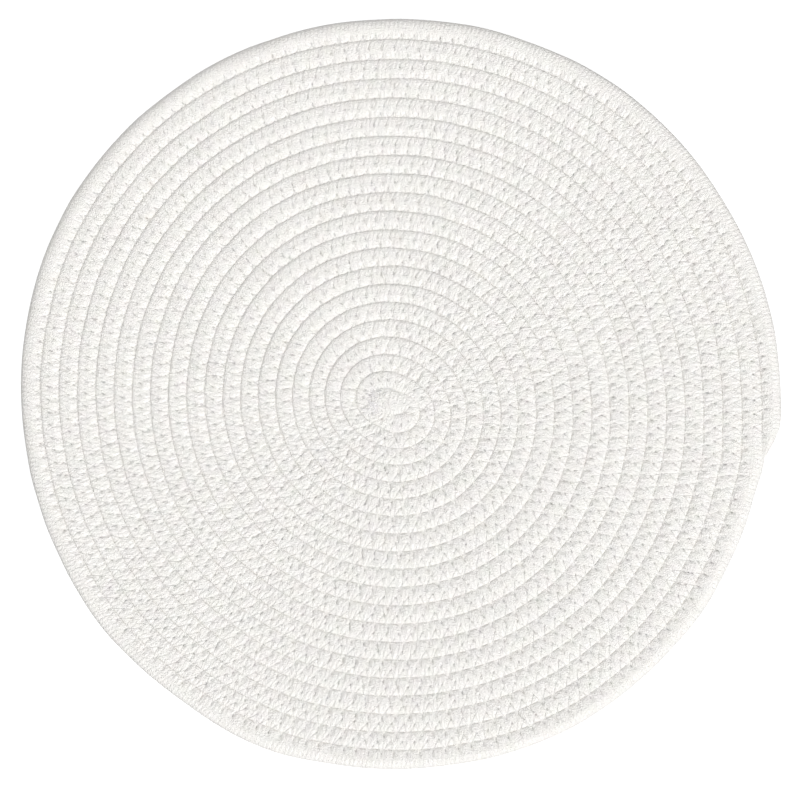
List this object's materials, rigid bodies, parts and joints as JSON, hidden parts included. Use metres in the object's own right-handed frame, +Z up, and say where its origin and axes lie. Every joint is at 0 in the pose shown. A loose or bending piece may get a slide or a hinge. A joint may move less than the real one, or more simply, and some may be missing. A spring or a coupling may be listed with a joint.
{
  "type": "coiled cotton-rope placemat",
  "caption": "Round flat placemat wound from braided cotton rope, each turn zigzag-sewn to the last, its outer end tapered onto the rim.",
  "frame": {"origin": "middle of the footprint, on the surface that the mat lies on", "axes": "+Z up out of the upper face; +X to the right, towards the rope's outer end; +Y towards the far side"},
  "size_m": [0.3802, 0.3744, 0.007],
  "materials": {
    "cotton_rope": "matt off-white braided cotton rope, sewn with white zigzag thread"
  },
  "bodies": {
    "root": {"rope_coil": "cotton_rope"}
  },
  "joints": []
}
